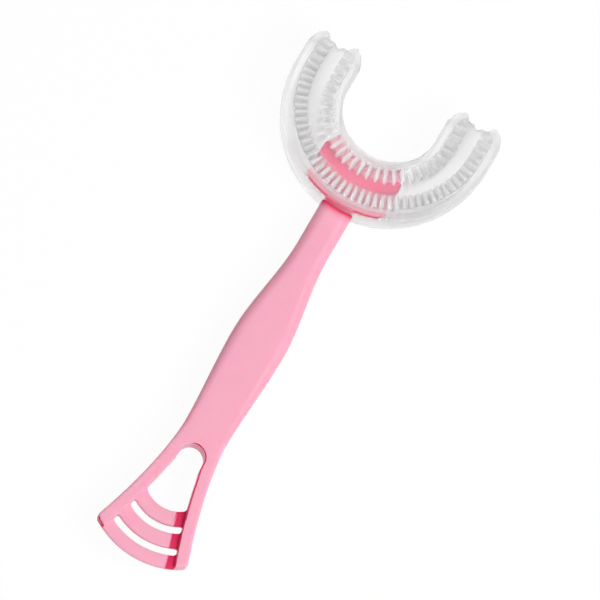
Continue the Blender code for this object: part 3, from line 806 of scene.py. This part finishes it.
def finger_mesh(name, stations, rows, face, outward, length, widen, random):
    """Bristles on one stretch of wall: round fingers that taper, with a foot at the wall and a domed tip.

    The half width falls from the root to the tip in a straight line, plus a foot that dies away with the
    distance from the wall. The last rings follow a quarter circle.
    """
    reach = np.concatenate([[-BRISTLE_SUNK, 0.0], length * np.array(BRISTLE_RINGS)])
    taper = 1 - np.clip(reach / length, 0.0, 1.0)
    foot = BRISTLE_FOOT * np.exp(-np.clip(reach, 0.0, None) / BRISTLE_FOOT)
    half_wide = widen * (BRISTLE_TIP + (BRISTLE_ROOT_WIDTH - BRISTLE_TIP) * taper) / 2 + foot
    half_tall = (BRISTLE_TIP + (BRISTLE_ROOT_HEIGHT - BRISTLE_TIP) * taper) / 2 + foot
    dome = np.linspace(0.0, math.pi / 2, BRISTLE_DOME_RINGS)
    tip = BRISTLE_TIP / 2
    reach = np.concatenate([reach, length - tip + tip * np.sin(dome)])
    half_wide = np.concatenate([half_wide, widen * tip * np.cos(dome)])
    half_tall = np.concatenate([half_tall, tip * np.cos(dome)])
    turn = np.linspace(0.0, 2 * math.pi, BRISTLE_SIDES + 1)
    station, height = (part.ravel() for part in np.meshgrid(stations, rows))
    count = len(station)
    lean = random.normal(0.0, BRISTLE_LEAN, (2, count))[:, :, None, None]
    along = half_wide[None, :, None] * np.cos(turn)[None, None, :] + lean[0] * reach[None, :, None]
    up = half_tall[None, :, None] * np.sin(turn)[None, None, :] + lean[1] * reach[None, :, None]
    angle = np.clip(station, 0.0, math.pi)
    across = np.stack([np.cos(angle), -np.sin(angle), 0 * angle], axis=-1)[:, None, None]
    forward = np.stack([np.sin(angle), np.cos(angle), 0 * angle], axis=-1)[:, None, None]
    root = along_u(station, face, height)[:, None, None]
    points = root - across * outward * reach[None, :, None, None] + forward * along[..., None]
    points[..., 2] += up
    one = grid_faces(len(reach), BRISTLE_SIDES + 1)
    first = np.arange(count)[:, None, None] * len(reach) * (BRISTLE_SIDES + 1)
    return closed_mesh(name, points.reshape(-1, 3), (one[None] + first).reshape(-1, 4))


def add_bristle_haze(mesh, face, outward):
    """How milky each point of some bristles is, from 0 to 1: clear at the root, clearer over the plate."""
    radius, x, y, _ = head_places(mesh)
    over_plate = front_stretch(x, y, PLATE_HALF_WIDTH, SOFT_FADE)
    from_root = ease(BRISTLE_ROOT_SHARE + outward * (face - radius) / BRISTLE_CLEAR_ROOT)
    add_layer(mesh, "haze", blend(over_plate, BRISTLE_HAZE, PLATE_BRISTLE_HAZE) * from_root)


def add_bristles(material):
    """Six strips of bristles on each wall of each channel, as in the frame."""
    random = np.random.default_rng(BRISTLE_SEED)
    pieces = []
    rows = np.linspace(LOW_ROW, HIGH_ROW, BRISTLE_ROWS)
    walls = {
        "outer": (OUTER_FACE, 1, OUTER_BRISTLE_LENGTH, OUTER_BRISTLE_WIDEN, OUTER_COLUMNS),
        "inner": (INNER_FACE, -1, INNER_BRISTLE_LENGTH, 1.0, INNER_COLUMNS),
    }
    arm = np.array(ARM_COLUMNS)
    last = len(FRONT_STRIPS) - 1
    for level, side in (("upper", 1), ("lower", -1)):
        for wall, (face, outward, length, widen, columns) in walls.items():
            angles = np.linspace(0.0, math.pi, columns + 1)
            owner = np.minimum(np.arange(columns + 1) * len(FRONT_STRIPS) // columns, last)
            strips = {part: angles[owner == index] for index, part in enumerate(FRONT_STRIPS)}
            strips.update(right_arm=-arm, left_arm=math.pi + arm)
            for part, stations in strips.items():
                node = f"{level}_{wall}_bristles_{part}"
                mesh = finger_mesh(node, stations, side * rows, face, outward, length, widen, random)
                add_bristle_haze(mesh, face, outward)
                pieces.append(add_piece(
                    node + "_fingers", mesh, material, "head", [node], BRISTLE_CREASE_ANGLE))
    return pieces


# Finishes


class Value:
    """A number or colour that varies over a surface. Arithmetic on it adds Math nodes."""

    def __init__(self, nodes, socket):
        self.nodes = nodes
        self.socket = socket

    def maths(self, operation, first, second):
        """A Math node on two values or numbers."""
        return self.nodes.node("ShaderNodeMath", {"operation": operation}, {0: first, 1: second})

    def __add__(self, other):
        return self.maths("ADD", self, other)

    __radd__ = __add__

    def __sub__(self, other):
        return self.maths("SUBTRACT", self, other)

    def __rsub__(self, other):
        return self.maths("SUBTRACT", other, self)

    def __mul__(self, other):
        return self.maths("MULTIPLY", self, other)

    __rmul__ = __mul__

    def __or__(self, other):
        return self.maths("MAXIMUM", self, other)


class Nodes:
    """The nodes of a material or of the world, all made one way."""

    def __init__(self, owner):
        owner.use_nodes = True
        self.tree = owner.node_tree

    def node(self, kind, settings, inputs, output=0):
        """A node of a kind: its settings first, then the values or links of its sockets."""
        made = self.tree.nodes.new(kind)
        for key, value in settings.items():
            setattr(made, key, value)
        self.feed(made, inputs)
        return Value(self, made.outputs[output])

    def feed(self, node, inputs):
        """Set or link the sockets of a node."""
        for key, value in inputs.items():
            if isinstance(value, Value):
                self.tree.links.new(value.socket, node.inputs[key])
            else:
                node.inputs[key].default_value = value

    def seen_directly(self):
        """1 for rays that show the background: from the camera, from gloss and through clear parts."""
        camera, gloss, clear = (self.node("ShaderNodeLightPath", {}, {}, f"Is {ray} Ray")
                                for ray in ("Camera", "Glossy", "Transmission"))
        return camera | gloss | clear


class Finish(Nodes):
    """A material made of one Principled shader and the patterns that feed it."""

    def __init__(self, name):
        self.material = bpy.data.materials.new(name)
        super().__init__(self.material)
        self.shader = self.tree.nodes["Principled BSDF"]

    def layer(self, name):
        """A number kept with the mesh."""
        return self.node("ShaderNodeAttribute", {"attribute_name": name}, {}, "Fac")

    def noise(self, size, detail=2.0, stretch=(1.0, 1.0, 1.0)):
        """Cloudy noise from 0 to 1 whose blotches are about size across."""
        place = self.node("ShaderNodeTexCoord", {}, {}, "Object")
        scale = tuple(factor / size for factor in stretch)
        place = self.node("ShaderNodeMapping", {}, {"Vector": place, "Scale": scale})
        return self.node("ShaderNodeTexNoise", {}, {"Vector": place, "Scale": 1.0, "Detail": detail})

    def mix(self, share, first, second):
        """One colour turning into another. Either may be three numbers or come from a node."""
        first, second = (part if isinstance(part, Value) else (*part, 1.0) for part in (first, second))
        return self.node("ShaderNodeMix", {"data_type": "RGBA"}, {0: share, 6: first, 7: second}, 2)

    def bump(self, height, strength, distance):
        """A normal tilted by a height map."""
        inputs = {"Height": height, "Strength": strength, "Distance": distance}
        return self.node("ShaderNodeBump", {}, inputs)


def moulded_pink():
    """Satin pink plastic: light goes a little way in and comes out redder. Where a layer kept with the mesh
    says so, the pink turns to a dark red pink that is painted shade.
    """
    finish = Finish("moulded_pink")
    cloud = finish.noise(18 * MM)
    flow = finish.noise(1.2 * MM, stretch=(1.0, 0.08, 1.0))
    grain = finish.noise(0.18 * MM, detail=3.0)
    skin = finish.mix(cloud, LIGHT_PINK, CLOUDED_PINK)
    finish.feed(finish.shader, {
        # Painted shade: the pink turns to a dark red pink by a layer kept with the mesh
        "Base Color": finish.mix(finish.layer("painted_shade"), skin, PAINTED_SHADE_PINK),
        "Roughness": 0.30 + 0.07 * cloud + 0.05 * flow,
        "Normal": finish.bump(grain + 0.6 * flow, 0.12, 0.03 * MM),
        "Specular IOR Level": 0.2,
        "IOR": 1.49,
        "Subsurface Weight": 0.8,
        "Subsurface Radius": (1.0, 0.08, 0.15),
        "Subsurface Scale": 3.0 * MM})
    return finish.material


def milky_silicone(name, thin, thick_and_shaded, thick_and_shaded_from, clear):
    """Clear silicone with a milky haze that is kept with the mesh. Where the haze is high the colour turns
    greyer:
    partly for thicker silicone, partly as painted shade on the channel floor, the front of the outer skin
    and the bristles away from the plate.
    """
    finish = Finish(name)
    cloud = finish.noise(5 * MM)
    ripple = finish.noise(1.6 * MM, detail=1.0)
    haze = finish.layer("haze")
    # Past the given haze the colour turns greyer: partly thicker silicone, partly painted shade
    share = 8 * (haze - thick_and_shaded_from) + 0.4 * cloud
    finish.feed(finish.shader, {
        "Base Color": finish.mix(share, thin, thick_and_shaded),
        "Roughness": 0.34 + 0.12 * cloud,
        "Alpha": haze + 0.06 * (cloud - 0.5),
        "Normal": finish.bump(ripple, 0.04, 0.04 * MM),
        "Transmission Weight": clear,
        "IOR": 1.05,
        "Coat Weight": 0.05,
        "Coat Roughness": 0.3,
        "Coat IOR": 1.41})
    return finish.material


# Studio


def add_camera():
    """The photograph's view: from above the handle's end, with the brush turned in the picture."""
    photo_side = 600
    pixels_to_a_millimetre = 3.70
    pixel = MM / pixels_to_a_millimetre
    u_centre_pixel = (391.0, 116.9)
    turn = math.radians(30.36)
    elevation = math.radians(77)
    sensor = 36 * MM
    lens = 1200 * MM
    across = Vector((1.0, 0.0, 0.0))
    along = Vector((0.0, math.sin(elevation), math.cos(elevation)))
    back = Vector((0.0, -math.cos(elevation), math.sin(elevation)))
    right = across * math.cos(turn) + along * math.sin(turn)
    up = along * math.cos(turn) - across * math.sin(turn)
    from_left = (u_centre_pixel[0] - photo_side / 2) * pixel
    from_below = (photo_side / 2 - u_centre_pixel[1]) * pixel
    aim = Vector(CENTRE) - right * from_left - up * from_below
    data = bpy.data.cameras.new("camera")
    data.sensor_width = sensor / MM
    data.lens = lens / MM
    camera = bpy.data.objects.new("camera", data)
    bpy.context.scene.collection.objects.link(camera)
    distance = photo_side * pixel * lens / sensor
    turned = Matrix((right, up, back)).transposed().to_4x4()
    camera.matrix_world = Matrix.Translation(aim + back * distance) @ turned
    data.clip_start = distance / 100
    data.clip_end = distance * 10
    bpy.context.scene.camera = camera


def add_area_light(name, place, size, strength, lit):
    """A square soft box that faces the middle of the brush and lights the pieces that are given."""
    data = bpy.data.lights.new(name, "AREA")
    data.size = size
    data.energy = strength
    light = bpy.data.objects.new(name, data)
    light.location = place
    light.rotation_mode = "QUATERNION"
    light.rotation_quaternion = Vector(place).to_track_quat("Z", "Y")
    light.visible_camera = False
    bpy.context.scene.collection.objects.link(light)
    group = bpy.data.collections.new(name + "_lights")
    for piece in lit:
        group.objects.link(piece)
    light.light_linking.receiver_collection = group


def add_world(fill):
    """Even white light from all round at a strength, seen as plain white."""
    world = bpy.data.worlds.new("studio")
    bpy.context.scene.world = world
    nodes = Nodes(world)
    strength = fill + (1 - fill) * nodes.seen_directly()
    nodes.feed(nodes.tree.nodes["Background"], {"Color": WHITE, "Strength": strength})


def add_floor(shadow):
    """A white table. The camera sees it as plain white with a share of the shadow that falls on it."""
    points = np.array([(-1, -1), (1, -1), (1, 1), (-1, 1)]) * FLOOR_REACH
    mesh = bpy.data.meshes.new("floor")
    mesh.from_pydata([(x, y, -FLOOR_DROP) for x, y in points], [], [(0, 1, 2, 3)])
    floor = bpy.data.objects.new("floor", mesh)
    bpy.context.scene.collection.objects.link(floor)
    finish = Finish("white_table")
    finish.feed(finish.shader, {"Base Color": TABLE_WHITE, "Roughness": 0.9})
    matt = Value(finish, finish.shader.outputs[0])
    glow = finish.node("ShaderNodeEmission", {}, {"Color": WHITE})
    share = (1 - shadow) * finish.seen_directly()
    surface = finish.node("ShaderNodeMixShader", {}, {0: share, 1: matt, 2: glow})
    finish.feed(finish.tree.nodes["Material Output"], {"Surface": surface})
    mesh.materials.append(finish.material)
    return floor


def build():
    """The whole picture."""
    pink = moulded_pink()
    silicone = milky_silicone("milky_silicone", THIN_SILICONE, THICK_AND_SHADED_SILICONE, thick_and_shaded_from=0.68, clear=0.5)
    bristle_silicone = milky_silicone(
        "bristle_silicone", THIN_SILICONE, THICK_AND_SHADED_BRISTLES, thick_and_shaded_from=0.58, clear=0.4)

    plate = slab_mesh("plate", plate_outline(), PLATE_HALF_THICKNESS, PLATE_EDGE_ROUND)
    blades = [blade_mesh(index) for index in range(BLADE_COUNT)]
    handle = combined(handle_mesh(), [plate] + blades, "UNION")
    add_painted_shade(handle)
    handle_piece = add_piece("handle_moulding", handle, pink, "handle", ["handle"])

    pocket_half_height = PLATE_HALF_THICKNESS + POCKET_GAP
    pocket = slab_mesh("pocket", plate_outline(POCKET_GAP), pocket_half_height, PLATE_EDGE_ROUND)
    head = combined(head_mesh(), [pocket], "DIFFERENCE")
    add_haze(head)
    head_piece = add_piece("head_moulding", head, silicone, "head", ["silicone_head"])
    bristle_pieces = add_bristles(bristle_silicone)

    add_camera()
    add_world(FILL_LIGHT)
    floor = add_floor(FLOOR_SHADOW)
    add_area_light("right_soft_box", RIGHT_BOX_PLACE, SOFT_BOX_SIZE, RIGHT_BOX_WATTS, [handle_piece, floor])
    silicone_pieces = [head_piece] + bristle_pieces
    add_area_light("left_soft_box", LEFT_BOX_PLACE, SOFT_BOX_SIZE, LEFT_BOX_WATTS, silicone_pieces)
    scene = bpy.context.scene
    scene.view_settings.view_transform = "Standard"
    scene.cycles.max_bounces = LIGHT_BOUNCES
    scene.cycles.transmission_bounces = LIGHT_BOUNCES
    scene.cycles.transparent_max_bounces = CLEAR_BOUNCES


build()
